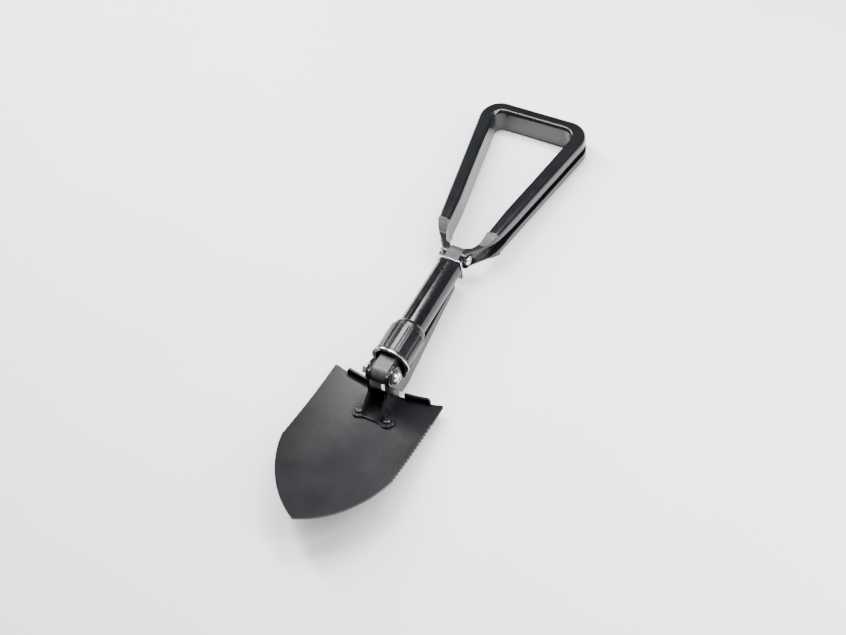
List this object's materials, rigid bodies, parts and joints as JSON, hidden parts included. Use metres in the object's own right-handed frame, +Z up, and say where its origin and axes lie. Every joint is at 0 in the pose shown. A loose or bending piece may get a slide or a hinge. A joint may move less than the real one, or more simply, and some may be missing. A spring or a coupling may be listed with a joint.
{
  "type": "folding camp shovel",
  "caption": "Folding camp shovel with a dished saw-edged blade, a back pick, a turning lock collar on a steel tube and a rolled triangular handle.",
  "frame": {"origin": "centre of the footprint, on the surface the shovel rests on", "axes": "+Y from the blade's tip to the handle's end, +X across to the blade's toothed side, +Z up out of the blade's hollow"},
  "size_m": [0.099, 0.4258, 0.0493],
  "materials": {
    "gloss_black": "gloss black enamel",
    "satin_black": "satin black enamel",
    "collar_black": "gloss black enamel on a moulded collar",
    "grey_steel": "dull grey steel",
    "zinc_plate": "bright zinc plate"
  },
  "bodies": {
    "shaft": {"shaft_tube": "gloss_black", "threaded_sleeve": "zinc_plate", "lower_tongue": "grey_steel", "upper_tongue": "grey_steel", "tongue_pins": "zinc_plate", "stop_plate": "zinc_plate", "lower_hinge_bolt": "zinc_plate", "lower_hinge_nut": "zinc_plate", "lower_hinge_bush": "zinc_plate", "lower_hinge_washers": "zinc_plate", "upper_hinge_bush": "zinc_plate"},
    "handle": {"handle_loop": "gloss_black", "upper_hinge_bolt": "zinc_plate", "upper_hinge_nut": "zinc_plate", "upper_hinge_washers": "zinc_plate"},
    "blade": {"blade": "satin_black", "neck_bracket": "gloss_black", "blade_rivets": "gloss_black"},
    "pick": {"pick": "gloss_black"},
    "ring": {"collar_ring": "zinc_plate"},
    "collar": {"collar_sleeve": "collar_black"}
  },
  "joints": [
    {"name": "blade_fold", "type": "hinge", "parent": "shaft", "child": "blade", "pos_m": [0, -0.07501, 0.03371], "axis": [-1, 0, 0], "range_deg": [0, 170]},
    {"name": "pick_swing", "type": "hinge", "parent": "shaft", "child": "pick", "pos_m": [0, -0.07501, 0.03371], "axis": [-1, 0, 0], "range_deg": [0, 85]},
    {"name": "handle_fold", "type": "hinge", "parent": "shaft", "child": "handle", "pos_m": [0, 0.04965, 0.02438], "axis": [1, 0, 0], "range_deg": [-90, 180]},
    {"name": "collar_slide", "type": "slide", "parent": "shaft", "child": "ring", "axis": [0, 0.9972, -0.0746], "range_m": [0, 0.024]},
    {"name": "collar_turn", "type": "hinge", "parent": "ring", "child": "collar", "pos_m": [0, -0.04609, 0.03154], "axis": [0, 0.9972, -0.0746], "range_deg": [0, 1440]}
  ],
  "couplings": [
    {"joint": "pick_swing", "follows": "blade_fold", "ratio": 0.5},
    {"joint": "collar_slide", "follows": "collar_turn", "m_per_rad": 0.00095493}
  ]
}
